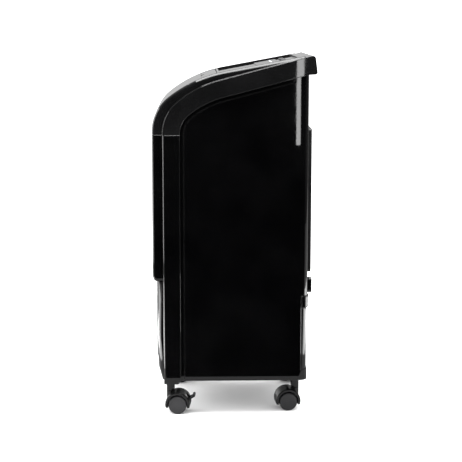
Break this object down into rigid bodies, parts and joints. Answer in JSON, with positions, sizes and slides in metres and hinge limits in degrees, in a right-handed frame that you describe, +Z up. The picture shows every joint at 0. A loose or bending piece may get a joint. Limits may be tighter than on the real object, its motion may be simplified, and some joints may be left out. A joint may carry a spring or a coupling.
{
  "type": "evaporative air cooler",
  "caption": "Mobile evaporative air cooler: tall gloss-black cabinet with curved top, front outlet with louvres, rear intake filter, slide-out water tank and twin-wheel casters.",
  "frame": {"origin": "on the floor under the middle of the cooler's box", "axes": "+Z up, -Y the front with the air outlet, +Y the back with the water tank, +X the cooler's left side as a person stands in front and sees it on the right"},
  "size_m": [0.245, 0.266, 0.5907],
  "materials": {
    "gloss_black_abs": "high gloss moulded ABS",
    "matte_black_abs": "satin moulded ABS",
    "dark_glass": "glossy dark control window",
    "clear_window": "clear polycarbonate",
    "button_grey": "satin keys",
    "steel": "plated steel",
    "brass_bush": "sintered bronze",
    "motor_paint": "zinc painted can",
    "pump_plastic": "moulded plastic",
    "clear_hose": "milky tube",
    "filter_fabric": "woven nylon mesh",
    "pad_paper": "impregnated honeycomb paper",
    "circuit_board": "printed board",
    "caster_nylon": "moulded nylon",
    "wheel_grey": "moulded wheel"
  },
  "bodies": {
    "cabinet": {"front_frame": "gloss_black_abs", "top_hood": "gloss_black_abs", "body_shell": "gloss_black_abs", "base_tray": "gloss_black_abs", "outlet_frame": "gloss_black_abs", "lower_panel": "gloss_black_abs", "level_window": "clear_window", "blower_housing": "matte_black_abs", "swing_motor": "motor_paint", "bearing_bush": "brass_bush", "blower_motor": "motor_paint", "deck": "matte_black_abs", "water_pump": "pump_plastic", "pump_bracket": "matte_black_abs", "riser_pipe": "clear_hose", "water_trough": "matte_black_abs", "cord_gland": "matte_black_abs", "control_panel": "gloss_black_abs", "control_glass": "dark_glass", "control_board": "circuit_board", "case_screws": "steel"},
    "lid": {"fill_lid": "gloss_black_abs"},
    "filter": {"intake_filter": "matte_black_abs", "filter_mesh": "filter_fabric", "cooling_pad": "pad_paper"},
    "tank": {"water_tank": "gloss_black_abs"},
    "latch": {"tank_latch": "gloss_black_abs"},
    "drum": {"blower_drum": "matte_black_abs", "blower_shaft": "steel"},
    "impeller": {"pump_impeller": "pump_plastic"},
    "louvre_1_body": {"louvre_1": "matte_black_abs"},
    "louvre_2_body": {"louvre_2": "matte_black_abs"},
    "louvre_3_body": {"louvre_3": "matte_black_abs"},
    "louvre_4_body": {"louvre_4": "matte_black_abs"},
    "louvre_5_body": {"louvre_5": "matte_black_abs"},
    "louvre_bar": {"louvre_link": "matte_black_abs"},
    "vane_1_body": {"vane_1": "matte_black_abs"},
    "vane_2_body": {"vane_2": "matte_black_abs"},
    "vane_3_body": {"vane_3": "matte_black_abs"},
    "vane_4_body": {"vane_4": "matte_black_abs"},
    "vane_bar": {"vane_link": "matte_black_abs"},
    "key_1": {"button_1": "button_grey"},
    "key_2": {"button_2": "button_grey"},
    "key_3": {"button_3": "button_grey"},
    "key_4": {"button_4": "button_grey"},
    "key_5": {"button_5": "button_grey"},
    "caster_front_left": {"caster_fork_front_left": "caster_nylon", "caster_axle_front_left": "steel"},
    "wheels_front_left": {"caster_wheels_front_left": "wheel_grey"},
    "pedal_front_left": {"caster_brake_front_left": "caster_nylon"},
    "caster_front_right": {"caster_fork_front_right": "caster_nylon", "caster_axle_front_right": "steel"},
    "wheels_front_right": {"caster_wheels_front_right": "wheel_grey"},
    "pedal_front_right": {"caster_brake_front_right": "caster_nylon"},
    "caster_rear_left": {"caster_fork_rear_left": "caster_nylon", "caster_axle_rear_left": "steel"},
    "wheels_rear_left": {"caster_wheels_rear_left": "wheel_grey"},
    "caster_rear_right": {"caster_fork_rear_right": "caster_nylon", "caster_axle_rear_right": "steel"},
    "wheels_rear_right": {"caster_wheels_rear_right": "wheel_grey"}
  },
  "joints": [
    {"name": "swivel_front_left", "type": "hinge", "parent": "cabinet", "child": "caster_front_left", "pos_m": [0.096, -0.105, 0.038], "axis": [0, 0, 1], "continuous": true},
    {"name": "roll_front_left", "type": "hinge", "parent": "caster_front_left", "child": "wheels_front_left", "pos_m": [0.09709, -0.09255, 0.015], "axis": [-0.9962, 0.0872, 0], "continuous": true},
    {"name": "brake_front_left", "type": "hinge", "parent": "caster_front_left", "child": "pedal_front_left", "pos_m": [0.09859, -0.07537, 0.02347], "axis": [-0.9962, 0.0872, 0], "range_deg": [0, 20]},
    {"name": "swivel_front_right", "type": "hinge", "parent": "cabinet", "child": "caster_front_right", "pos_m": [-0.096, -0.105, 0.038], "axis": [0, 0, 1], "continuous": true},
    {"name": "roll_front_right", "type": "hinge", "parent": "caster_front_right", "child": "wheels_front_right", "pos_m": [-0.09924, -0.09293, 0.015], "axis": [-0.9659, -0.2588, 0], "continuous": true},
    {"name": "brake_front_right", "type": "hinge", "parent": "caster_front_right", "child": "pedal_front_right", "pos_m": [-0.1037, -0.07627, 0.02347], "axis": [-0.9659, -0.2588, 0], "range_deg": [0, 20]},
    {"name": "swivel_rear_left", "type": "hinge", "parent": "cabinet", "child": "caster_rear_left", "pos_m": [0.08, 0.103, 0.038], "axis": [0, 0, 1], "continuous": true},
    {"name": "roll_rear_left", "type": "hinge", "parent": "caster_rear_left", "child": "wheels_rear_left", "pos_m": [0.08087, 0.09053, 0.015], "axis": [0.9976, 0.0698, 0], "continuous": true},
    {"name": "swivel_rear_right", "type": "hinge", "parent": "cabinet", "child": "caster_rear_right", "pos_m": [-0.08, 0.103, 0.038], "axis": [0, 0, 1], "continuous": true},
    {"name": "roll_rear_right", "type": "hinge", "parent": "caster_rear_right", "child": "wheels_rear_right", "pos_m": [-0.09231, 0.10517, 0.015], "axis": [-0.1736, -0.9848, 0], "continuous": true},
    {"name": "lid_hinge", "type": "hinge", "parent": "cabinet", "child": "lid", "pos_m": [0, -0.0287, 0.56003], "axis": [-1, 0, 0], "range_deg": [0, 80]},
    {"name": "filter_pull", "type": "slide", "parent": "cabinet", "child": "filter", "axis": [0, 1, 0], "range_m": [0, 0.045]},
    {"name": "tank_slide", "type": "slide", "parent": "cabinet", "child": "tank", "axis": [0, 1, 0], "range_m": [0, 0.11]},
    {"name": "latch_turn", "type": "hinge", "parent": "cabinet", "child": "latch", "pos_m": [0.085, 0.121, 0.213], "axis": [0, 1, 0], "range_deg": [0, 90]},
    {"name": "drum_spin", "type": "hinge", "parent": "cabinet", "child": "drum", "pos_m": [0, 0.0205, 0.34875], "axis": [1, 0, 0], "continuous": true},
    {"name": "impeller_spin", "type": "hinge", "parent": "cabinet", "child": "impeller", "pos_m": [0.088, 0.0925, 0.0822], "axis": [0, 0, 1], "continuous": true},
    {"name": "louvre_tilt_1", "type": "hinge", "parent": "cabinet", "child": "louvre_1_body", "pos_m": [0, -0.1155, 0.26815], "axis": [1, 0, 0], "range_deg": [-35, 35]},
    {"name": "louvre_tilt_2", "type": "hinge", "parent": "cabinet", "child": "louvre_2_body", "pos_m": [0, -0.1155, 0.30845], "axis": [1, 0, 0], "range_deg": [-35, 35]},
    {"name": "louvre_tilt_3", "type": "hinge", "parent": "cabinet", "child": "louvre_3_body", "pos_m": [0, -0.1155, 0.34875], "axis": [1, 0, 0], "range_deg": [-35, 35]},
    {"name": "louvre_tilt_4", "type": "hinge", "parent": "cabinet", "child": "louvre_4_body", "pos_m": [0, -0.1155, 0.38905], "axis": [1, 0, 0], "range_deg": [-35, 35]},
    {"name": "louvre_tilt_5", "type": "hinge", "parent": "cabinet", "child": "louvre_5_body", "pos_m": [0, -0.1155, 0.42935], "axis": [1, 0, 0], "range_deg": [-35, 35]},
    {"name": "louvre_bar_pivot", "type": "hinge", "parent": "louvre_1_body", "child": "louvre_bar", "pos_m": [0.088, -0.1065, 0.26815], "axis": [1, 0, 0], "range_deg": [-35, 35]},
    {"name": "vane_swing_1", "type": "hinge", "parent": "cabinet", "child": "vane_1_body", "pos_m": [-0.066, -0.0855, 0.248], "axis": [0, 0, 1], "range_deg": [-32, 32]},
    {"name": "vane_swing_2", "type": "hinge", "parent": "cabinet", "child": "vane_2_body", "pos_m": [-0.022, -0.0855, 0.248], "axis": [0, 0, 1], "range_deg": [-32, 32]},
    {"name": "vane_swing_3", "type": "hinge", "parent": "cabinet", "child": "vane_3_body", "pos_m": [0.022, -0.0855, 0.248], "axis": [0, 0, 1], "range_deg": [-32, 32]},
    {"name": "vane_swing_4", "type": "hinge", "parent": "cabinet", "child": "vane_4_body", "pos_m": [0.066, -0.0855, 0.248], "axis": [0, 0, 1], "range_deg": [-32, 32]},
    {"name": "vane_bar_pivot", "type": "hinge", "parent": "vane_1_body", "child": "vane_bar", "pos_m": [-0.066, -0.0765, 0.248], "axis": [0, 0, 1], "range_deg": [-32, 32]},
    {"name": "press_1", "type": "slide", "parent": "cabinet", "child": "key_1", "axis": [0, 0.184, -0.9829], "range_m": [0, 0.0012], "stiffness_N_per_m": 500, "springref_m": -0.0006},
    {"name": "press_2", "type": "slide", "parent": "cabinet", "child": "key_2", "axis": [0, 0.184, -0.9829], "range_m": [0, 0.0012], "stiffness_N_per_m": 500, "springref_m": -0.0006},
    {"name": "press_3", "type": "slide", "parent": "cabinet", "child": "key_3", "axis": [0, 0.184, -0.9829], "range_m": [0, 0.0012], "stiffness_N_per_m": 500, "springref_m": -0.0006},
    {"name": "press_4", "type": "slide", "parent": "cabinet", "child": "key_4", "axis": [0, 0.184, -0.9829], "range_m": [0, 0.0012], "stiffness_N_per_m": 500, "springref_m": -0.0006},
    {"name": "press_5", "type": "slide", "parent": "cabinet", "child": "key_5", "axis": [0, 0.184, -0.9829], "range_m": [0, 0.0012], "stiffness_N_per_m": 500, "springref_m": -0.0006}
  ],
  "couplings": [
    {"joint": "louvre_tilt_2", "follows": "louvre_tilt_1", "ratio": 1},
    {"joint": "louvre_tilt_3", "follows": "louvre_tilt_1", "ratio": 1},
    {"joint": "louvre_tilt_4", "follows": "louvre_tilt_1", "ratio": 1},
    {"joint": "louvre_tilt_5", "follows": "louvre_tilt_1", "ratio": 1},
    {"joint": "louvre_bar_pivot", "follows": "louvre_tilt_1", "ratio": -1},
    {"joint": "vane_swing_2", "follows": "vane_swing_1", "ratio": 1},
    {"joint": "vane_swing_3", "follows": "vane_swing_1", "ratio": 1},
    {"joint": "vane_swing_4", "follows": "vane_swing_1", "ratio": 1},
    {"joint": "vane_bar_pivot", "follows": "vane_swing_1", "ratio": -1}
  ]
}
